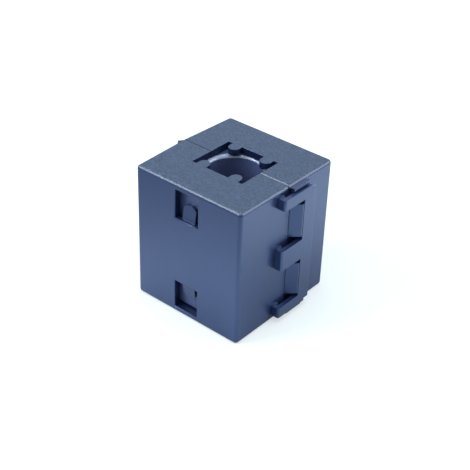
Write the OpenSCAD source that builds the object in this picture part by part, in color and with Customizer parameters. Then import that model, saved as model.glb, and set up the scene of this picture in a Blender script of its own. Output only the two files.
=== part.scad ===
// Clip-on ferrite bead for a round cable: two hinged half cases, each with a
// half core, held shut by a springy three-pronged latch flap.
// Millimetres, +Z up along the cable. The origin is on the cable axis at the
// bottom end face. -Y is the front half, +Y the rear half, +X the latch side.

/* [Case] */
// Width of the case across its front face
case_width = 30; // [29:0.5:36]
// Depth of the closed case from front face to rear face
case_depth = 31.7; // [31:0.1:38]
// Height of the case between its two end faces
case_height = 34.2; // [33.4:0.2:60]
// Thickness of the four side walls
wall = 1.6; // [1.5:0.05:1.8]
// Thickness of the two end walls
end_wall = 1.6; // [1.3:0.1:1.8]
// Radius of the four upright corners
corner_radius = 0.9; // [0.8:0.1:1.6]
// Radius of the edges around both end faces
end_edge_radius = 0.6; // [0.3:0.05:0.8]
// Lean of the hinge side wall from parting plane to front or rear face
hinge_side_lean = 0.6; // [0.3:0.1:1]
// Gap between the two half cases along the parting plane
parting_gap = 0.2; // [0.1:0.05:0.3]

/* [Cable opening] */
// Width of the opening in each end wall
opening_width = 14.3; // [13.8:0.1:15]
// Length of the opening in each end wall, front edge to rear edge
opening_length = 12.4; // [12:0.1:13.4]
// Width of each of the four gripping fingers
finger_width = 2.8; // [2.4:0.1:3]
// Reach of each finger from the straight edge of the opening
finger_reach = 2.5; // [2.2:0.1:3]
// Width of the slot between a finger and the side of the opening
finger_slot = 1.2; // [0.8:0.1:1.4]

/* [Ferrite core] */
// Diameter of the cable bore through the core
cable_bore = 13; // [12:0.2:13.4]
// Radius of the rounded rim at each end of the bore
rim_radius = 0.9; // [0.5:0.1:1]
// Distance from an end face of the case to the end of the core
core_depth = 2; // [2:0.05:2.4]
// Clearance between the core and the nearest side wall
core_clearance = 0.1; // [0.05:0.05:0.2]
// Gap between the ground faces of the closed core halves
core_face_gap = 0.02; // [0.02:0.01:0.06]

/* [Spring windows] */
// Width of each window in the front and rear walls
window_width = 6.6; // [6:0.1:8]
// Height of each window
window_height = 7.2; // [6.8:0.1:8]
// Distance from an end face to the nearer edge of a window
window_margin = 1.5; // [1.5:0.1:2.5]
// Width of the spring tongue in each window
tongue_width = 3.7; // [3:0.1:4.4]
// Length of the spring tongue
tongue_length = 3.8; // [3.4:0.1:4.2]
// Thickness of the spring tongue
tongue_thickness = 0.8; // [0.6:0.05:0.9]
// Distance the tongue tip stands in past the inside of the wall
tongue_press = 0.5; // [0.4:0.05:0.7]

/* [Hinge] */
// Distance the hinge fold stands out from the hinge side wall
hinge_stand = 1.55; // [1.4:0.05:1.8]
// Thickness of the folded hinge web
hinge_web = 0.6; // [0.5:0.05:0.7]
// Radius of the flexing line between the two hinge webs
hinge_line_radius = 0.25; // [0.2:0.01:0.3]
// Clearance of the front web around the flexing line
hinge_clearance = 0.05; // [0.04:0.01:0.08]
// Distance from each end face to the end of the hinge
hinge_margin = 1.1; // [0.8:0.1:4]

/* [Latch] */
// Distance the outer face of the latch stands out from the latch side wall
latch_stand = 2.05; // [2.05:0.05:2.2]
// Thickness of the latch flap
latch_thickness = 1.1; // [0.9:0.05:1.1]
// Reach of the prong tips in front of the parting plane
latch_reach = 3.9; // [3.4:0.1:4.2]
// Distance behind the parting plane at which the prongs join the flap
latch_neck = 3.45; // [3.3:0.05:4]
// Distance behind the parting plane of the line the flap bends along
latch_root = 5.8; // [5.6:0.1:6.4]
// Depth of the solid pad behind the bend line
latch_pad = 1.7; // [1.5:0.1:3]
// Distance from each end face to the outer face of the pad
pad_margin = 2.1; // [1.8:0.1:3]
// Distance from each end face to the flap
latch_margin = 1.5; // [1.4:0.1:2]
// Height of each outer prong
outer_prong = 2.65; // [2.4:0.05:3]
// Height of the middle prong
middle_prong = 5.2; // [4.4:0.1:6]
// Radius of the rounded prong tip
prong_tip_radius = 1; // [0.5:0.1:1.1]
// Radius of the upper and lower corners of each prong tip
tip_corner_radius = 0.5; // [0.3:0.1:0.8]
// Length of the hooked head at the prong tip
hook_length = 1.2; // [1:0.1:1.3]
// Clearance between a hooked head and the case wall
hook_clearance = 0.15; // [0.1:0.05:0.25]
// Distance the catch ribs stand out from the front case wall
catch_stand = 0.85; // [0.6:0.05:0.85]
// Distance the guard bars stand out from the rear case wall
guard_stand = 1.05; // [0.7:0.05:1.2]
// Height of each guard bar
guard_height = 1.1; // [0.9:0.05:1.2]
// Clearance around the latch flap where it passes the rear case
flap_clearance = 0.05; // [0.05:0.01:0.1]
// Depth of the pocket in the rear case wall behind the prongs
pocket_depth = 0.35; // [0.2:0.05:0.6]
// Reach of the front wall lip past the parting plane inside the pocket
lip_reach = 0.7; // [0.4:0.1:1.2]
// Width of the slot between a prong and the ramp block next to it
ramp_slot = 1; // [0.8:0.1:1.4]
// Width of the flat crest of each ramp block
ramp_crest = 0.3; // [0.2:0.1:0.6]
// Gap between the crest of a ramp block and the flap
ramp_gap = 0.2; // [0.15:0.05:0.3]

/* [Hidden] */
$fn = 96;

// side walls are placed so that hinge and latch stand equally far from the axis
side_shift = (hinge_side_lean + hinge_stand - latch_stand) / 2;
latch_wall_x = case_width / 2 + side_shift;
hinge_front_x = -case_width / 2 + side_shift;
hinge_parting_x = hinge_front_x - hinge_side_lean;
outer_x = latch_wall_x + latch_stand;
half_depth = case_depth / 2;
half_gap = parting_gap / 2;
lean_angle = atan(hinge_side_lean / half_depth);
mid_z = case_height / 2;

core_half_width = -hinge_front_x - wall - core_clearance;
core_back_y = half_depth - wall - tongue_press;
core_height = case_height - 2 * core_depth;
cavity_height = case_height - 2 * end_wall;
latch_inner_x = latch_wall_x - wall;

window_x = side_shift - 0.12;
tongue_angle = asin(tongue_press / tongue_length);

hinge_axis_x = -outer_x + hinge_line_radius;
hinge_arc_radius = hinge_parting_x - hinge_axis_x;
hinge_height = case_height - 2 * hinge_margin;

flap_inner_x = outer_x - latch_thickness;
flap_height = case_height - 2 * latch_margin;
hook_inner_x = latch_wall_x + hook_clearance;
land_x = flap_inner_x - 3 * flap_clearance;
guard_z = latch_margin - flap_clearance - guard_height;
catch_back_y = -latch_reach + hook_length + 0.2;
ramp_back_y = latch_neck - ramp_gap;
ramp_height = case_height / 2 - latch_margin - outer_prong - middle_prong / 2 - 2 * ramp_slot;

/* one half case outline, front half, with rounded upright corners */
module half_outline() {
    y_c = -half_depth + corner_radius;
    hinge_c = hinge_parting_x - y_c * tan(lean_angle) + corner_radius / cos(lean_angle);
    latch_c = latch_wall_x - corner_radius;
    tangent_x = hinge_c - corner_radius * cos(lean_angle);
    tangent_y = y_c - corner_radius * sin(lean_angle);
    gap_x = hinge_parting_x + half_gap * tan(lean_angle);
    union() {
        polygon([
            [gap_x, -half_gap],
            [tangent_x, tangent_y],
            [hinge_c, y_c],
            [hinge_c, -half_depth],
            [latch_c, -half_depth],
            [latch_c, y_c],
            [latch_wall_x, y_c],
            [latch_wall_x, -half_gap]
        ]);
        translate([hinge_c, y_c])
            circle(r = corner_radius);
        translate([latch_c, y_c])
            circle(r = corner_radius);
    }
}

/* inside of one half case, front half */
module half_cavity() {
    back = half_depth - wall;
    inner_x = hinge_parting_x + wall / cos(lean_angle);
    translate([0, 0, end_wall])
        linear_extrude(cavity_height)
            polygon([
                [inner_x - 0.2, 1],
                [inner_x - 0.2, -half_gap],
                [inner_x, -half_gap],
                [inner_x + back * tan(lean_angle), -back],
                [latch_inner_x, -back],
                [latch_inner_x, 1]
            ]);
}

/* section removed to round an edge: the edge is at the origin, material -x -y */
module edge_section() {
    difference() {
        translate([-end_edge_radius, -end_edge_radius])
            square(end_edge_radius + 0.5);
        translate([-end_edge_radius, -end_edge_radius])
            circle(r = end_edge_radius);
    }
}

/* straight edge rounding, edge along +X from the origin, outside is -Y */
module edge_bar(length) {
    rotate([90, 0, 90])
        linear_extrude(length)
            mirror([1, 0])
                edge_section();
}

/* rounding of the edges around the top end face of the front half case */
module end_rounding() {
    y_c = -half_depth + corner_radius;
    hinge_c = hinge_parting_x - y_c * tan(lean_angle) + corner_radius / cos(lean_angle);
    latch_c = latch_wall_x - corner_radius;
    translate([hinge_c, -half_depth, 0])
        edge_bar(latch_c - hinge_c);
    translate([latch_wall_x, y_c, 0])
        rotate([0, 0, 90])
            edge_bar(-y_c + 1);
    translate([hinge_c, y_c, 0])
        rotate([0, 0, -90 + lean_angle])
            translate([-(-y_c + 1), -corner_radius, 0])
                edge_bar(-y_c + 1);
    translate([latch_c, y_c, 0])
        rotate([0, 0, -90])
            corner_bar(90);
    translate([hinge_c, y_c, 0])
        rotate([0, 0, 180 + lean_angle])
            corner_bar(90 - lean_angle);
}

/* rounding that follows an upright corner through the given angle */
module corner_bar(angle) {
    rotate_extrude(angle = angle)
        translate([corner_radius, 0])
            edge_section();
}

/* opening in an end wall, front half, with two round-ended fingers */
module half_opening() {
    edge = opening_length / 2;
    straight = finger_reach - finger_width / 2;
    finger_x = opening_width / 2 - finger_slot - finger_width / 2;
    difference() {
        translate([-opening_width / 2, -edge])
            square([opening_width, edge + 1]);
        for (side = [-1, 1]) {
            translate([side * finger_x - finger_width / 2, -edge - 1])
                square([finger_width, straight + 1]);
            translate([side * finger_x, -edge + straight])
                circle(d = finger_width);
        }
    }
}

/* one spring tongue, its root at the origin, pointing up, outside is -Y */
module tongue() {
    round_r = tongue_width / 2;
    translate([0, wall, 0])
        rotate([-tongue_angle, 0, 0])
            rotate([90, 0, 0])
                linear_extrude(tongue_thickness) {
                    translate([-round_r, -1])
                        square([tongue_width, tongue_length - round_r / 2 + 1]);
                    intersection() {
                        translate([0, tongue_length - 1.25 * round_r])
                            circle(r = 1.25 * round_r);
                        translate([-round_r, 0])
                            square([tongue_width, tongue_length]);
                    }
                }
}

/* window and tongue positions repeated at both ends of a wall */
module at_windows() {
    root_z = window_margin + window_height;
    translate([window_x, -half_depth, root_z])
        mirror([0, 0, 1])
            children();
    translate([window_x, -half_depth, case_height - root_z])
        children();
}

/* half case common to front and rear, drawn for the front half */
module half_case() {
    difference() {
        linear_extrude(case_height)
            half_outline();
        half_cavity();
        translate([0, 0, -1])
            linear_extrude(case_height + 2)
                half_opening();
        at_windows()
            translate([-window_width / 2, -1, 0])
                cube([window_width, wall + 2, window_height]);
        translate([0, 0, case_height])
            end_rounding();
        mirror([0, 0, 1])
            end_rounding();
    }
    at_windows()
        tongue();
    core_ribs();
}

/* upright ribs on both side walls that hold the core sideways */
module core_ribs() {
    rib_bottom = end_wall - 0.1;
    rib_height = cavity_height + 0.2;
    for (y = [-0.3, -0.75]) {
        translate([core_half_width, y * half_depth - 0.6, rib_bottom])
            cube([latch_inner_x - core_half_width + 0.2, 1.2, rib_height]);
        translate([hinge_parting_x + wall - 0.3, y * half_depth - 0.6, rib_bottom])
            cube([-core_half_width - hinge_parting_x - wall + 0.3, 1.2, rib_height]);
    }
}

/* folded hinge web of the front half, from the wall out to the bending line */
module hinge_web_outline() {
    intersection() {
        translate([hinge_parting_x, 0])
            difference() {
                circle(r = hinge_arc_radius);
                circle(r = hinge_arc_radius - hinge_web);
            }
        translate([hinge_axis_x, -hinge_arc_radius - 1])
            square([hinge_arc_radius + 0.6, hinge_arc_radius + 1 - half_gap]);
    }
}

/* catch rib behind one prong, section in plan, ramp towards the parting plane */
module catch_rib(height) {
    linear_extrude(height)
        polygon([
            [latch_wall_x - 0.6, catch_back_y],
            [latch_wall_x + catch_stand, catch_back_y],
            [latch_wall_x + catch_stand, catch_back_y + 0.3],
            [latch_wall_x, catch_back_y + 0.3 + catch_stand],
            [latch_wall_x - 0.6, catch_back_y + 0.3 + catch_stand]
        ]);
}

module front_shell() {
    color("DimGray") {
        difference() {
            union() {
                half_case();
                translate([0, 0, hinge_margin])
                    linear_extrude(hinge_height)
                        hinge_web_outline();
            }
            translate([hinge_axis_x, 0, hinge_margin - 1])
                cylinder(r = hinge_line_radius + hinge_clearance, h = hinge_height + 2);
        }
        translate([latch_inner_x, -half_gap - 0.5, latch_margin + parting_gap])
            cube([wall, half_gap + 0.5 + lip_reach, flap_height - 2 * parting_gap]);
        translate([0, 0, latch_margin + 0.2])
            catch_rib(outer_prong - 0.4);
        translate([0, 0, mid_z - middle_prong / 2 + 0.2])
            catch_rib(middle_prong - 0.4);
        translate([0, 0, case_height - latch_margin - outer_prong + 0.2])
            catch_rib(outer_prong - 0.4);
    }
}

/* guard bar that covers one end of the flap */
module guard_bar() {
    translate([latch_wall_x - 0.6, 0.3, guard_z])
        cube([guard_stand + 0.6, latch_root - 0.1 - 0.3, guard_height]);
}

/* solid pad that carries the flap, ends sloped down to the wall */
module latch_pad_block() {
    translate([0, latch_root + latch_pad, 0])
        rotate([90, 0, 0])
            linear_extrude(latch_pad)
                polygon([
                    [latch_wall_x - 0.6, end_edge_radius],
                    [latch_wall_x, end_edge_radius],
                    [outer_x, pad_margin],
                    [outer_x, case_height - pad_margin],
                    [latch_wall_x, case_height - end_edge_radius],
                    [latch_wall_x - 0.6, case_height - end_edge_radius]
                ]);
}

/* ramp block between two prongs, sloped from the rear wall up to the flap */
module ramp_block() {
    foot_y = lip_reach + parting_gap;
    linear_extrude(ramp_height)
        polygon([
            [latch_wall_x - 0.6, foot_y],
            [latch_wall_x, foot_y],
            [outer_x, ramp_back_y - ramp_crest],
            [outer_x, ramp_back_y],
            [land_x, ramp_back_y],
            [land_x, latch_neck + 0.2],
            [latch_wall_x - 0.6, latch_neck + 0.2]
        ]);
}

module rear_shell() {
    color("SlateGray") {
        difference() {
            union() {
                mirror([0, 1, 0])
                    half_case();
                translate([latch_wall_x - 0.6, latch_neck, latch_margin])
                    cube([land_x - latch_wall_x + 0.6, latch_root - latch_neck + 0.2, flap_height]);
            }
            translate([latch_wall_x - pocket_depth, -1, latch_margin])
                cube([pocket_depth + 1, latch_neck + 1, flap_height]);
            translate([latch_inner_x - 0.5, -1, latch_margin])
                cube([wall + 1, 1 + lip_reach + parting_gap, flap_height]);
        }
        guard_bar();
        translate([0, 0, case_height])
            mirror([0, 0, 1])
                guard_bar();
        latch_pad_block();
        translate([0, 0, latch_margin + outer_prong + ramp_slot])
            ramp_block();
        translate([0, 0, mid_z + middle_prong / 2 + ramp_slot])
            ramp_block();
        mirror([0, 1, 0])
            translate([0, 0, hinge_margin])
                linear_extrude(hinge_height)
                    hinge_web_outline();
        translate([hinge_axis_x, 0, hinge_margin])
            cylinder(r = hinge_line_radius, h = hinge_height);
    }
}

/* plan section of the flap through a prong, hooked head at the tip */
module prong_section() {
    tip_y = -latch_reach;
    round_x = outer_x - prong_tip_radius;
    round_y = tip_y + prong_tip_radius;
    head_y = tip_y + hook_length;
    union() {
        polygon([
            [hook_inner_x + 0.3, tip_y],
            [round_x, tip_y],
            [round_x, round_y],
            [outer_x, round_y],
            [outer_x, latch_neck + 0.5],
            [flap_inner_x, latch_neck + 0.5],
            [flap_inner_x, head_y + 0.15],
            [hook_inner_x + 0.15, head_y],
            [hook_inner_x, head_y - 0.15],
            [hook_inner_x, tip_y + 0.3]
        ]);
        intersection() {
            translate([round_x, round_y])
                circle(r = prong_tip_radius);
            translate([round_x, tip_y])
                square(prong_tip_radius);
        }
    }
}

/* side view of one prong, upper and lower corner of the tip rounded */
module prong_side(height) {
    tip_y = -latch_reach;
    r = tip_corner_radius;
    union() {
        translate([tip_y + r, 0])
            square([latch_reach + latch_neck + 1 - r, height]);
        translate([tip_y, r])
            square([r + 1, height - 2 * r]);
        for (z = [r, height - r])
            translate([tip_y + r, z])
                circle(r = r);
    }
}

/* one prong of the given height, its lower face on the plane z = 0 */
module prong(height) {
    intersection() {
        linear_extrude(height)
            prong_section();
        translate([latch_wall_x, 0, 0])
            rotate([90, 0, 90])
                linear_extrude(latch_stand + 1)
                    prong_side(height);
    }
}

module latch_flap() {
    color("LightSlateGray") {
        translate([flap_inner_x, latch_neck, latch_margin])
            cube([latch_thickness, latch_root - flap_clearance - latch_neck, flap_height]);
        translate([0, 0, latch_margin])
            prong(outer_prong);
        translate([0, 0, mid_z - middle_prong / 2])
            prong(middle_prong);
        translate([0, 0, case_height - latch_margin - outer_prong])
            prong(outer_prong);
    }
}

/* rounded rim cut at the upper end of the bore */
module rim_cut() {
    rotate_extrude()
        difference() {
            translate([cable_bore / 2 - 0.5, -rim_radius])
                square([rim_radius + 0.5, rim_radius + 1]);
            translate([cable_bore / 2 + rim_radius, -rim_radius])
                circle(r = rim_radius);
        }
}

/* half core, drawn for the front half */
module half_core() {
    bevel = 0.8;
    difference() {
        translate([0, 0, core_depth])
            linear_extrude(core_height)
                polygon([
                    [-core_half_width, -core_face_gap / 2],
                    [-core_half_width, -core_back_y + bevel],
                    [-core_half_width + bevel, -core_back_y],
                    [core_half_width - bevel, -core_back_y],
                    [core_half_width, -core_back_y + bevel],
                    [core_half_width, -core_face_gap / 2]
                ]);
        cylinder(d = cable_bore, h = case_height);
        translate([0, 0, case_height - core_depth])
            rim_cut();
        translate([0, 0, core_depth])
            mirror([0, 0, 1])
                rim_cut();
    }
}

module front_core() {
    color("Black")
        half_core();
}

module rear_core() {
    color("Black")
        mirror([0, 1, 0])
            half_core();
}

front_shell();
rear_shell();
latch_flap();
front_core();
rear_core();
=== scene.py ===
import bpy, bmesh, math
from mathutils import Matrix, Vector


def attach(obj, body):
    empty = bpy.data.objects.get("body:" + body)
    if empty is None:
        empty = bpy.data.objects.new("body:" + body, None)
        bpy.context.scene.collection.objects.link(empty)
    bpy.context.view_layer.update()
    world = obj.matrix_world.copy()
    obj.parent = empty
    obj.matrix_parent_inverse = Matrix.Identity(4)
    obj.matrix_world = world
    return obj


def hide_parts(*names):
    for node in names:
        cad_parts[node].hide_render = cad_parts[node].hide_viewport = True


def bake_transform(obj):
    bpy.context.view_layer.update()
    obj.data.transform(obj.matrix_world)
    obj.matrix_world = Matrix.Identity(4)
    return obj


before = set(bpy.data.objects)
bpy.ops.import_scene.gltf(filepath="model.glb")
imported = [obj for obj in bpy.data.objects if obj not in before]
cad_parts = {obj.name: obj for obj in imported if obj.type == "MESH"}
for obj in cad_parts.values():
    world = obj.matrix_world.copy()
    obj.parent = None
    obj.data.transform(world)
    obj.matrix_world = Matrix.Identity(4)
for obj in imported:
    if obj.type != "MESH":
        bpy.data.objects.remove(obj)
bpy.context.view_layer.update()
mm = 0.001

# lengths in the dictionaries are in millimetres and angles in degrees; x runs from the hinge side to the
# latch side, y from the front half to the rear half and z along the cable
meshRules = dict(mergeReach=0.002, flatAngle=0.4, sharpAngle=35, smoothAngle=40, faceWeight=60)


def deselectAll():
    if bpy.context.object and bpy.context.object.mode != "OBJECT":
        bpy.ops.object.mode_set(mode="OBJECT")
    bpy.ops.object.select_all(action="DESELECT")


def makeActive(piece):
    deselectAll()
    piece.select_set(True)
    bpy.context.view_layer.objects.active = piece


def applyPlace(piece):
    makeActive(piece)
    bpy.ops.object.transform_apply(location=True, rotation=True, scale=True)


def applyModifiers(piece):
    makeActive(piece)
    for modifier in list(piece.modifiers):
        bpy.ops.object.modifier_apply(modifier=modifier.name)


def addBox(name, low, high):
    # a cube primitive stretched between two corners
    deselectAll()
    centre = [(a + b) / 2 * mm for a, b in zip(low, high)]
    size = [(b - a) * mm for a, b in zip(low, high)]
    bpy.ops.mesh.primitive_cube_add(size=1, location=centre)
    box = bpy.context.object
    box.name = name
    box.scale = size
    applyPlace(box)
    return box


def combine(piece, other, operation):
    # joins another solid to the piece or cuts it away, and uses that solid up
    boolean = piece.modifiers.new("combine", "BOOLEAN")
    boolean.operation = operation
    boolean.solver = "EXACT"
    boolean.object = other
    applyModifiers(piece)
    bpy.data.objects.remove(other)


def copyNode(nodeName, pieceName):
    # the node's own mesh stays as it is; the copy is merged and its flat faces joined
    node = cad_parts[nodeName]
    piece = bpy.data.objects.new(pieceName, node.data.copy())
    bpy.context.scene.collection.objects.link(piece)
    piece.data.materials.clear()
    makeActive(piece)
    bpy.ops.object.mode_set(mode="EDIT")
    bpy.ops.mesh.select_all(action="SELECT")
    bpy.ops.mesh.remove_doubles(threshold=meshRules["mergeReach"] * mm)
    bpy.ops.mesh.customdata_custom_splitnormals_clear()
    bpy.ops.mesh.dissolve_limited(angle_limit=math.radians(meshRules["flatAngle"]))
    bpy.ops.object.mode_set(mode="OBJECT")
    return piece


def clearPicks(mesh):
    for part in (mesh.vertices, mesh.edges, mesh.polygons):
        part.foreach_set("select", [False] * len(part))


def roundEdges(piece, width, steps, picked, sharpAngle=meshRules["sharpAngle"], turned=None):
    # bevels the sharp edges for which picked(middle) is true and, if given, turned(change of the normal) too
    mesh = piece.data
    clearPicks(mesh)
    work = bmesh.new()
    work.from_mesh(mesh)
    for edge in work.edges:
        if len(edge.link_faces) != 2 or edge.calc_face_angle(0) < math.radians(sharpAngle):
            continue
        middle = (edge.verts[0].co + edge.verts[1].co) / 2 / mm
        change = edge.link_faces[0].normal - edge.link_faces[1].normal
        if picked(middle) and (turned is None or turned(change)):
            edge.select = True
    work.to_mesh(mesh)
    work.free()
    makeActive(piece)
    bpy.context.tool_settings.mesh_select_mode = (False, True, False)
    bpy.ops.object.mode_set(mode="EDIT")
    bpy.ops.mesh.bevel(offset=width * mm, segments=steps, profile=0.5, clamp_overlap=True, affect="EDGES")
    bpy.ops.object.mode_set(mode="OBJECT")


def smoothFaces(piece, angle=meshRules["smoothAngle"]):
    makeActive(piece)
    bpy.ops.object.shade_smooth_by_angle(angle=math.radians(angle))
    weighted = piece.modifiers.new("weighted", "WEIGHTED_NORMAL")
    weighted.keep_sharp = True
    weighted.weight = meshRules["faceWeight"]
    applyModifiers(piece)


# the camera stands above the corner between the front and the latch side
cameraShape = dict(azimuth=39.107, elevation=33.628, roll=2.128, distance=241.445, aimHeight=17.1,
                   acrossOffset=0.492, upOffset=-1.906, lensPixels=1053.154, picturePixels=470,
                   sensorWidth=36, nearClip=10, farClip=20000)


def placeCamera(shape):
    azimuth, elevation, roll = (math.radians(shape[key]) for key in ("azimuth", "elevation", "roll"))
    flat = math.cos(elevation)
    back = Vector((math.sin(azimuth) * flat, -math.cos(azimuth) * flat, math.sin(elevation)))
    right = Vector((math.cos(azimuth), math.sin(azimuth), 0))
    up = back.cross(right)
    across = math.cos(roll) * right + math.sin(roll) * up
    upward = -math.sin(roll) * right + math.cos(roll) * up
    place = Vector((0, 0, shape["aimHeight"])) + back * shape["distance"]
    place = place + across * shape["acrossOffset"] + upward * shape["upOffset"]
    data = bpy.data.cameras.new("camera")
    data.sensor_width = shape["sensorWidth"]
    data.lens = shape["lensPixels"] / shape["picturePixels"] * shape["sensorWidth"]
    data.clip_start = shape["nearClip"] * mm
    data.clip_end = shape["farClip"] * mm
    camera = bpy.data.objects.new("camera", data)
    bpy.context.scene.collection.objects.link(camera)
    turn = Matrix((across, upward, back)).transposed().to_4x4()
    camera.matrix_world = Matrix.Translation(place * mm) @ turn
    bpy.context.scene.camera = camera


placeCamera(cameraShape)
print("camera placed")

# one plastic in three finishes, satin on the walls, grained on the end faces, and a darker colour on the
# sides of openings and windows that is painted shade;
# and a ferrite whose lighter rim is a painted highlight; shade is how far the grain shifts the colour
finishes = dict(
    caseSatin=dict(color=(0.0124, 0.0235, 0.075), tint=(0.37, 0.56, 1.0, 1), ior=1.95,
                   roughness=0.32, spread=0.03, coat=0.25, coatRoughness=0.25,
                   shade=0.06, grainSize=0.5, grainHeight=0.0015),
    caseGrain=dict(color=(0.024, 0.051, 0.110), tint=(0.82, 0.95, 1.0, 1), ior=1.5,
                   roughness=0.33, spread=0.03, coat=0.45, coatRoughness=0.3,
                   shade=0.5, grainSize=0.37, grainHeight=0.12),
    # painted shade: a darker colour in place of the shade inside openings and windows
    caseInsidePaintedShade=dict(color=(0.005, 0.010, 0.038), tint=(0.37, 0.56, 1.0, 1), ior=1.6,
                    roughness=0.36, spread=0.03, coat=0.0, coatRoughness=0.3,
                    shade=0.06, grainSize=0.5, grainHeight=0.0015),
    ferriteCeramic=dict(color=(0.055, 0.078, 0.18), tint=(0.6, 0.75, 1.0, 1), ior=1.7,
                        roughness=0.36, spread=0.03, coat=0.0, coatRoughness=0.3,
                        shade=0.25, grainSize=0.25, grainHeight=0.006),
    # painted highlight: the rim's light colour stands in for the sheen on the rounded rim
    ferriteRimPaintedHighlight=dict(color=(0.27, 0.34, 0.50), tint=(0.75, 0.88, 1.0, 1), ior=2.0,
                    roughness=0.32, spread=0.03, coat=0.0, coatRoughness=0.3,
                    shade=0.3, grainSize=0.3, grainHeight=0.004))

finishSockets = {"IOR": "ior", "Specular Tint": "tint",
                 "Coat Weight": "coat", "Coat Roughness": "coatRoughness"}
cloudNoise = dict(Scale=160.0, Detail=3.0, Roughness=0.5)
grainNoise = dict(Detail=2.0, Roughness=0.6)
noiseSpan = (0.3, 0.7)  # most of a noise's values lie between these


def addNode(tree, kind, **values):
    # each value goes to the input of that name, or else to the node's own setting
    node = tree.nodes.new(kind)
    for key, value in values.items():
        if key in node.inputs:
            node.inputs[key].default_value = value
        else:
            setattr(node, key, value)
    return node


def link(tree, fromNode, fromName, toNode, toName):
    tree.links.new(fromNode.outputs[fromName], toNode.inputs[toName])


def addRange(tree, source, sourceName, fromSpan, toSpan, curve="LINEAR"):
    # turns a value within the first span into one within the second, and holds it beyond the ends
    span = addNode(tree, "ShaderNodeMapRange", interpolation_type=curve)
    for name, value in zip(("From Min", "From Max", "To Min", "To Max"), (*fromSpan, *toSpan)):
        span.inputs[name].default_value = value
    link(tree, source, sourceName, span, "Value")
    return span


def addShaderMix(tree, factor, factorName, first, second, outputName):
    # the surface takes the first shader where the factor is 0 and the second where it is 1
    mixer = addNode(tree, "ShaderNodeMixShader")
    link(tree, factor, factorName, mixer, 0)
    link(tree, first, 0, mixer, 1)
    link(tree, second, 0, mixer, 2)
    link(tree, mixer, 0, tree.nodes[outputName], "Surface")


def newMaterial(name, finish):
    material = bpy.data.materials.new(name)
    material.use_nodes = True
    tree = material.node_tree
    shader = tree.nodes["Principled BSDF"]
    for socket, key in finishSockets.items():
        shader.inputs[socket].default_value = finish[key]
    place = addNode(tree, "ShaderNodeTexCoord")

    # slow drift of gloss over the surface
    cloud = addNode(tree, "ShaderNodeTexNoise", **cloudNoise)
    link(tree, place, "Object", cloud, "Vector")
    glossSpan = (finish["roughness"] - finish["spread"], finish["roughness"] + finish["spread"])
    gloss = addRange(tree, cloud, "Fac", noiseSpan, glossSpan)
    link(tree, gloss, "Result", shader, "Roughness")

    # fine grain, both in height and in the tone
    grain = addNode(tree, "ShaderNodeTexNoise", Scale=1 / (finish["grainSize"] * mm), **grainNoise)
    link(tree, place, "Object", grain, "Vector")
    tone = addRange(tree, grain, "Fac", noiseSpan, (1 - finish["shade"], 1 + finish["shade"]))
    colour = addNode(tree, "ShaderNodeVectorMath", operation="SCALE")
    colour.inputs[0].default_value = finish["color"]
    link(tree, tone, "Result", colour, "Scale")
    link(tree, colour, "Vector", shader, "Base Color")
    bump = addNode(tree, "ShaderNodeBump", Strength=1.0, Distance=finish["grainHeight"] * mm)
    link(tree, grain, "Fac", bump, "Height")
    link(tree, bump, "Normal", shader, "Normal")
    return material


materials = {name: newMaterial(name, finish) for name, finish in finishes.items()}
print("materials made")

# sizes of the case as in its solids; the rounding around the end faces grows from moulded to softened, and
# the slacks say how far off that rounding its vertices may lie
caseShape = dict(height=34.2, halfDepth=15.85, wallX=15.05, hingeX=-15.55, hingeLean=0.6, cornerRadius=0.9,
                 moulded=0.6, softened=0.88, arcSlack=0.02, endSlack=0.01)


def endDistance(z):
    # from a height to the nearer end face
    return min(z, caseShape["height"] - z)


def softenEnds(shell):
    # widens the rounding around both end faces, along each wall and round the upright corners
    shape = caseShape
    radius, corner, slack = shape["moulded"], shape["cornerRadius"], shape["endSlack"]
    grow = shape["softened"] / radius - 1
    lean = math.atan(shape["hingeLean"] / shape["halfDepth"])
    rowY = shape["halfDepth"] - corner
    hingeCentre = Vector((shape["hingeX"] + rowY * math.tan(lean) + corner / math.cos(lean), rowY))
    latchCentre = Vector((shape["wallX"] - corner, rowY))
    for vertex in shell.data.vertices:
        side = 1 if vertex.co.y > 0 else -1
        upward = 1 if vertex.co.z / mm < shape["height"] / 2 else -1
        place = Vector((vertex.co.x, abs(vertex.co.y))) / mm
        fromEnd = endDistance(vertex.co.z / mm)
        walls = [(shape["halfDepth"] - place.y, Vector((0, -1))),
                 (shape["wallX"] - place.x, Vector((-1, 0))),
                 ((place.x - shape["hingeX"]) * math.cos(lean) - place.y * math.sin(lean),
                  Vector((math.cos(lean), -math.sin(lean))))]
        fromWall, inward = min(walls, key=lambda wall: wall[0])
        corners = ((latchCentre, place.x > latchCentre.x), (hingeCentre, place.x < hingeCentre.x))
        for centre, beyond in corners:
            if beyond and place.y > rowY:
                inward = (centre - place).normalized()
                fromWall = corner - (centre - place).length
        offArc = abs((radius - fromWall) ** 2 + (radius - fromEnd) ** 2 - radius ** 2)
        inReach = -slack < fromWall < radius + slack and fromEnd < radius + slack
        if offArc < shape["arcSlack"] and inReach:
            move = inward * fromWall * grow
            vertex.co.x += move.x * mm
            vertex.co.y += side * move.y * mm
            vertex.co.z += upward * fromEnd * grow * mm


# the widths of the roundings and where their edges lie: an X or Y is the reach from the middle, a tongue's
# edges are found by their depth behind the wall, and an edge within faceReach of a face lies on it
edgeShape = dict(steps=2, opening=0.1, openingX=7.3, openingY=6.4, parting=0.12, partingReach=0.15,
                 window=0.2, windowX=4.0, small=0.12, tongueX=3.0, tongueFrom=0.3, tongueTo=1.9,
                 outsideX=14.9, outsideAngle=50, faceReach=0.05)


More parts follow.
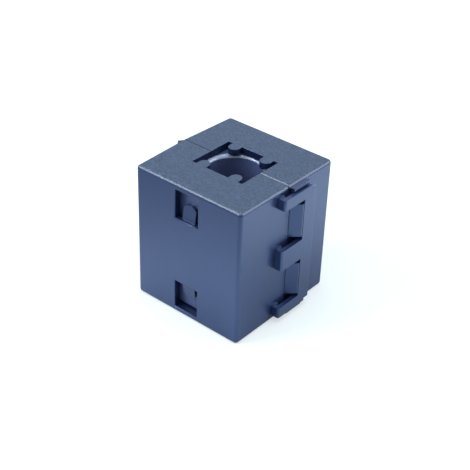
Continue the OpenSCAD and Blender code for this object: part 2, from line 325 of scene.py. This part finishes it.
def roundShell(shell, side):
    # side is -1 for the front half and 1 for the rear half; m is the middle of an edge
    shape = edgeShape
    halfDepth = caseShape["halfDepth"]

    def atEnd(m):
        return endDistance(m.z) < shape["faceReach"]

    def inOpening(m):
        return abs(m.x) < shape["openingX"] and abs(m.y) < shape["openingY"] and atEnd(m)

    def onParting(m):
        outside = atEnd(m) or abs(m.x) > shape["outsideX"]
        return abs(m.y) < shape["partingReach"] and outside and not inOpening(m)

    def onWindow(m):
        return side * m.y > halfDepth - shape["faceReach"] and abs(m.x) < shape["windowX"] and not atEnd(m)

    def onTongue(m):
        depth = halfDepth - side * m.y
        return abs(m.x) < shape["tongueX"] and shape["tongueFrom"] < depth < shape["tongueTo"]

    def onOutside(m):
        return abs(m.x) > shape["outsideX"] and not onParting(m)

    roundEdges(shell, shape["opening"], shape["steps"], inOpening)
    roundEdges(shell, shape["parting"], shape["steps"], onParting)
    roundEdges(shell, shape["window"], shape["steps"], onWindow)
    roundEdges(shell, shape["small"], shape["steps"], onTongue)
    roundEdges(shell, shape["small"], shape["steps"], onOutside, shape["outsideAngle"])


# where the finishes lie: depths from the nearer end face or from the outer wall, and reaches from the middle
paintShape = dict(grainDepth=0.6, skin=0.15, openingX=7.6, openingY=6.8, openingDepth=2.3,
                  windowX=3.5, windowFrom=1.0, windowTo=9.0, windowDepth=1.7, facing=0.5)


def paintShell(shell):
    shape = paintShape
    satin, grain, inside = range(3)
    for name in ("caseSatin", "caseGrain", "caseInsidePaintedShade"):
        shell.data.materials.append(materials[name])
    for face in shell.data.polygons:
        centre = face.center / mm
        fromEnd = endDistance(centre.z)
        fromWall = caseShape["halfDepth"] - abs(centre.y)
        onEnd = fromEnd < shape["grainDepth"] and centre.x < caseShape["wallX"]
        inOpening = (abs(centre.x) < shape["openingX"] and abs(centre.y) < shape["openingY"]
                     and shape["skin"] < fromEnd < shape["openingDepth"])
        inWindow = (abs(centre.x) < shape["windowX"] and shape["windowFrom"] < fromEnd < shape["windowTo"]
                    and shape["skin"] < fromWall < shape["windowDepth"])
        if onEnd and abs(face.normal.z) > shape["facing"]:
            face.material_index = grain
        # faces on the sides of openings and windows take the darker colour that is painted shade
        elif inOpening or (inWindow and abs(face.normal.y) < shape["facing"]):
            face.material_index = inside
        else:
            face.material_index = satin


frontShell = copyNode("front_shell", "frontShellSkin")
softenEnds(frontShell)
roundShell(frontShell, -1)
smoothFaces(frontShell)
paintShell(frontShell)
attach(frontShell, "front")
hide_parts("front_shell")
print("front half made")

# the latch side of the rear half; the gaps' and bars' heights count from the nearer end face
rearShape = dict(padFront=5.75, padBack=8.0, padOut=18.0, padOver=1.0,
                 gapFront=0.1, gapBack=6.2, gapOut=16.5, gapLow=1.1, gapHigh=1.6,
                 barFrom=15.6, barHeight=1.2, barReach=0.3,
                 seamY=0.1, seamFrom=6.9, seamTo=14.7, seamWidth=0.28, seamAngle=45)


def trimPad(shell):
    # the pad comes off the case, because the flap brings its own
    shape = rearShape
    low = (caseShape["wallX"], shape["padFront"], -shape["padOver"])
    high = (shape["padOut"], shape["padBack"], caseShape["height"] + shape["padOver"])
    combine(shell, addBox("padSpace", low, high), "DIFFERENCE")


def trimBars(shell):
    # each guard bar gets a gap to the flap and stands out further
    shape = rearShape
    height = caseShape["height"]
    lowerGap = (shape["gapLow"], shape["gapHigh"])
    upperGap = (height - shape["gapHigh"], height - shape["gapLow"])
    for bottom, top in (lowerGap, upperGap):
        low = (caseShape["wallX"], shape["gapFront"], bottom)
        high = (shape["gapOut"], shape["gapBack"], top)
        combine(shell, addBox("barGap", low, high), "DIFFERENCE")
    for vertex in shell.data.vertices:
        if vertex.co.x / mm > shape["barFrom"] and endDistance(vertex.co.z / mm) < shape["barHeight"]:
            vertex.co.x += shape["barReach"] * mm


def cutSeam(shell):
    # a narrow slope along the parting edge of the upper end face, between the opening and the latch side
    shape = rearShape
    half = shape["seamWidth"] / 2
    slope = addBox("seamCut", (shape["seamFrom"], -half, -half), (shape["seamTo"], half, half))
    slope.rotation_euler = (math.radians(shape["seamAngle"]), 0, 0)
    slope.location = (0, shape["seamY"] * mm, caseShape["height"] * mm)
    applyPlace(slope)
    combine(shell, slope, "DIFFERENCE")


rearShell = copyNode("rear_shell", "rearShellSkin")
trimPad(rearShell)
trimBars(rearShell)
softenEnds(rearShell)
roundShell(rearShell, 1)
cutSeam(rearShell)
smoothFaces(rearShell)
paintShell(rearShell)
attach(rearShell, "rear")
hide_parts("rear_shell")
print("rear half made")

flapShape = dict(
    outer=17.1, inner=16.0, hookInner=15.15, inWall=14.75,  # places along x
    neck=3.45, root=5.8, padBack=7.5, hookBack=-2.7, bendFrom=6.4, bendTo=5.0, reach=3.6,  # along y
    margin=1.5, outerProng=2.65, middleProng=5.2, padEnd=2.1, wallEnd=0.6,  # along z
    tipRound=0.5, tipSteps=8, cornerRound=0.6, cornerSteps=4, edgeRound=0.2, edgeSteps=3, bendSteps=6,
    overlap=0.1, clear=0.1, near=0.01, facing=0.9, cornerTurnY=0.1, cornerTurnZ=0.5)


def extrudeFaces(piece, move, picked):
    # draws out the faces for which picked(centre, normal) is true
    makeActive(piece)
    clearPicks(piece.data)
    for face in piece.data.polygons:
        face.select = bool(picked(face.center / mm, face.normal))
    bpy.context.tool_settings.mesh_select_mode = (False, False, True)
    bpy.ops.object.mode_set(mode="EDIT")
    bpy.ops.mesh.extrude_region_move(TRANSFORM_OT_translate={"value": [v * mm for v in move]})
    bpy.ops.object.mode_set(mode="OBJECT")


def sliceAt(piece, axis, place):
    # an edge loop where the plane across that axis meets the piece
    makeActive(piece)
    bpy.ops.object.mode_set(mode="EDIT")
    bpy.ops.mesh.select_all(action="SELECT")
    point, normal = [0, 0, 0], [0, 0, 0]
    point[axis], normal[axis] = place * mm, 1
    bpy.ops.mesh.bisect(plane_co=point, plane_no=normal)
    bpy.ops.object.mode_set(mode="OBJECT")


def makePad(shape):
    # the solid root behind the bend line, its ends sloped down to the wall
    height = caseShape["height"]
    pad = addBox("latchPad", (shape["inWall"], shape["root"], 0), (shape["outer"], shape["padBack"], height))
    slope = (shape["padEnd"] - shape["wallEnd"]) / (shape["outer"] - caseShape["wallX"])
    for vertex in pad.data.vertices:
        end = shape["padEnd"] - slope * (shape["outer"] - vertex.co.x / mm)
        vertex.co.z = (end if vertex.co.z / mm < height / 2 else height - end) * mm
    roundEdges(pad, shape["edgeRound"], shape["edgeSteps"],
               lambda m: m.x > shape["outer"] - shape["near"] and m.y > shape["root"] + shape["clear"])
    return pad


def drawProngs(flap, shape):
    # three prongs drawn out of the neck and across the parting, each with a hooked head behind its tip
    low, middle, high = shape["margin"], caseShape["height"] / 2, caseShape["height"] - shape["margin"]
    half = shape["middleProng"] / 2
    prongs = [(low, low + shape["outerProng"]),
              (middle - half, middle + half),
              (high - shape["outerProng"], high)]
    for place in (prongs[0][1], *prongs[1], prongs[2][0]):
        sliceAt(flap, 2, place)
    extrudeFaces(flap, (0, -shape["reach"] - shape["neck"], 0),
                 lambda c, n: n.y < -shape["facing"] and any(bottom < c.z < top for bottom, top in prongs))
    sliceAt(flap, 1, shape["hookBack"])
    extrudeFaces(flap, (shape["hookInner"] - shape["inner"], 0, 0),
                 lambda c, n: n.x < -shape["facing"] and c.y < shape["hookBack"])


def roundFlap(flap, shape):
    # the tips, the corners of the tips, then the outer edges up to the bend
    near, atTip = shape["near"], shape["near"] - shape["reach"]
    roundEdges(flap, shape["tipRound"], shape["tipSteps"],
               lambda m: m.y < atTip and m.x > shape["outer"] - near)
    roundEdges(flap, shape["cornerRound"], shape["cornerSteps"],
               lambda m: m.y < atTip + shape["tipRound"],
               turned=lambda n: abs(n.y) > shape["cornerTurnY"] and abs(n.z) > shape["cornerTurnZ"])
    roundEdges(flap, shape["edgeRound"], shape["edgeSteps"],
               lambda m: m.x > shape["inner"] + near and atTip + shape["clear"] < m.y < shape["root"])


def makeFlap(shape):
    flap = addBox("latchFlapSkin", (shape["inner"], shape["neck"], shape["margin"]),
                  (shape["outer"], shape["root"] + shape["overlap"], caseShape["height"] - shape["margin"]))
    drawProngs(flap, shape)
    roundFlap(flap, shape)
    combine(flap, makePad(shape), "UNION")

    # loops across the bend, and no vertex is left past the outer face
    for step in range(1, shape["bendSteps"]):
        sliceAt(flap, 1, shape["bendTo"] + (shape["bendFrom"] - shape["bendTo"]) * step / shape["bendSteps"])
    for vertex in flap.data.vertices:
        vertex.co.x = min(vertex.co.x, shape["outer"] * mm)
    smoothFaces(flap)
    flap.data.materials.append(materials["caseSatin"])
    return flap


flap = makeFlap(flapShape)
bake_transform(flap)
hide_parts("latch_flap")
print("latch flap made")

# depth is how far inside the case each core ends, and rim how far the ring with the painted highlight goes
# from there
coreShape = dict(depth=2.0, rim=0.75, bore=6.53, smoothAngle=30)


def makeCore(nodeName, pieceName, groupName):
    core = copyNode(nodeName, pieceName)
    smoothFaces(core, coreShape["smoothAngle"])
    for name in ("ferriteCeramic", "ferriteRimPaintedHighlight"):
        core.data.materials.append(materials[name])
    for face in core.data.polygons:
        centre = face.center / mm
        # the rounded rim past the bore takes the lighter colour that is a painted highlight
        onPaintedHighlight = endDistance(centre.z) - coreShape["depth"] < coreShape["rim"]
        face.material_index = int(onPaintedHighlight and centre.xy.length > coreShape["bore"])
    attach(core, groupName)
    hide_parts(nodeName)


makeCore("front_core", "frontCoreSkin", "front")
makeCore("rear_core", "rearCoreSkin", "rear")
print("cores made")

# the camera sees a white ground that only the contact shadow darkens; the walls mirror a bluish one whose
# colour holds a painted shade close to the part and a painted pool of light around that gets dark again
# outwards
floorShape = dict(size=2000, drop=0.05, roughness=0.8, color=(0.77, 0.89, 1.0),
                  eyeColor=(0.78, 0.93, 1.0, 1), glowColor=(0.97, 1.0, 1.0, 1), glowShare=0.5)
# painted light in the mirrored floor: a pool of light, and a shade near the part, as levels of its colour
paintedPoolSpot = dict(centre=(20, 25), start=40, end=120, inside=1.0, outside=0.3)
paintedShadeSpot = dict(centre=(10, 4), start=13, end=45, inside=0.55, outside=1.0)
colorSockets = dict(factor=0, first=6, second=7, result=2)  # a Mix node's own numbers for mixing colours


def addSpot(tree, groundPlace, spot):
    # a round patch of the floor with one level inside its start and the other outside its end
    away = addNode(tree, "ShaderNodeVectorMath", operation="DISTANCE")
    away.inputs[1].default_value = (spot["centre"][0] * mm, spot["centre"][1] * mm, 0)
    link(tree, groundPlace, "Object", away, 0)
    return addRange(tree, away, "Value", (spot["start"] * mm, spot["end"] * mm),
                    (spot["inside"], spot["outside"]), "SMOOTHSTEP")


def newFloorMaterial(shape):
    material = bpy.data.materials.new("paleFloor")
    material.use_nodes = True
    tree = material.node_tree
    shader = tree.nodes["Principled BSDF"]
    shader.inputs["Roughness"].default_value = shape["roughness"]
    groundPlace = addNode(tree, "ShaderNodeTexCoord")
    # the painted pool of light and the painted shade scale the colour that the walls mirror
    paintedPool = addSpot(tree, groundPlace, paintedPoolSpot)
    shade = addSpot(tree, groundPlace, paintedShadeSpot)
    level = addNode(tree, "ShaderNodeMath", operation="MULTIPLY")
    link(tree, paintedPool, "Result", level, 0)
    link(tree, shade, "Result", level, 1)
    ground = addNode(tree, "ShaderNodeVectorMath", operation="SCALE")
    ground.inputs[0].default_value = shape["color"]
    link(tree, level, "Value", ground, "Scale")

    # the camera's own rays see another colour, half of it glowing by itself
    path = addNode(tree, "ShaderNodeLightPath")
    seen = addNode(tree, "ShaderNodeMix", data_type="RGBA")
    seen.inputs[colorSockets["second"]].default_value = shape["eyeColor"]
    link(tree, path, "Is Camera Ray", seen, colorSockets["factor"])
    link(tree, ground, "Vector", seen, colorSockets["first"])
    link(tree, seen, colorSockets["result"], shader, "Base Color")
    share = addNode(tree, "ShaderNodeMath", operation="MULTIPLY")
    share.inputs[1].default_value = shape["glowShare"]
    link(tree, path, "Is Camera Ray", share, 0)
    glow = addNode(tree, "ShaderNodeEmission", Color=shape["glowColor"], Strength=1.0)
    addShaderMix(tree, share, "Value", shader, glow, "Material Output")
    return material


def makeFloor(shape):
    deselectAll()
    bpy.ops.mesh.primitive_plane_add(size=shape["size"] * mm, location=(0, 0, -shape["drop"] * mm))
    floor = bpy.context.object
    floor.name = "floor"
    floor.data.materials.append(newFloorMaterial(shape))
    return floor


floor = makeFloor(floorShape)
print("floor made")

# the sky is dark up to about 7 degrees above the horizon and even from about 25; start and end are the sines
skyShape = dict(color=(1, 1, 1, 1), level=0.7, horizonLevel=0.2, start=0.12, end=0.42, backdrop=(1, 1, 1, 1))


def makeSky(shape):
    world = bpy.data.worlds.new("studio")
    bpy.context.scene.world = world
    world.use_nodes = True
    tree = world.node_tree
    sky = tree.nodes["Background"]
    sky.inputs["Color"].default_value = shape["color"]
    place = addNode(tree, "ShaderNodeTexCoord")
    height = addNode(tree, "ShaderNodeSeparateXYZ")
    link(tree, place, "Generated", height, "Vector")
    strength = addRange(tree, height, "Z", (shape["start"], shape["end"]),
                        (shape["horizonLevel"], shape["level"]), "SMOOTHSTEP")
    link(tree, strength, "Result", sky, "Strength")
    path = addNode(tree, "ShaderNodeLightPath")
    backdrop = addNode(tree, "ShaderNodeBackground", Color=shape["backdrop"])
    addShaderMix(tree, path, "Is Camera Ray", sky, backdrop, "World Output")


makeSky(skyShape)
print("sky made")

# square panels that face the part; a panel of level 1 is as bright as a white picture, and power is the watts
# that it takes for each square metre
panelShape = dict(aimHeight=17, distance=600, power=4)
panels = dict(frontLeft=dict(direction=(-0.525, -0.60, 0.60), size=300, level=8.0),
              backRight=dict(direction=(0.66, 0.646, 0.37), size=400, level=3.2),
              overhead=dict(direction=(0.05, -0.08, 1.0), size=480, level=2.2))


def addPanel(name, direction, size, level):
    toward = Vector(direction).normalized()
    data = bpy.data.lights.new(name, "AREA")
    data.shape = "SQUARE"
    data.size = size * mm
    data.energy = panelShape["power"] * level * (size * mm) ** 2
    panel = bpy.data.objects.new(name, data)
    bpy.context.scene.collection.objects.link(panel)
    panel.location = Vector((0, 0, panelShape["aimHeight"] * mm)) + toward * (panelShape["distance"] * mm)
    panel.rotation_euler = toward.to_track_quat("Z", "Y").to_euler()
    panel.visible_camera = False


for name, settings in panels.items():
    addPanel(name, **settings)
print("lamps made")

bpy.context.scene.view_settings.view_transform = "Standard"
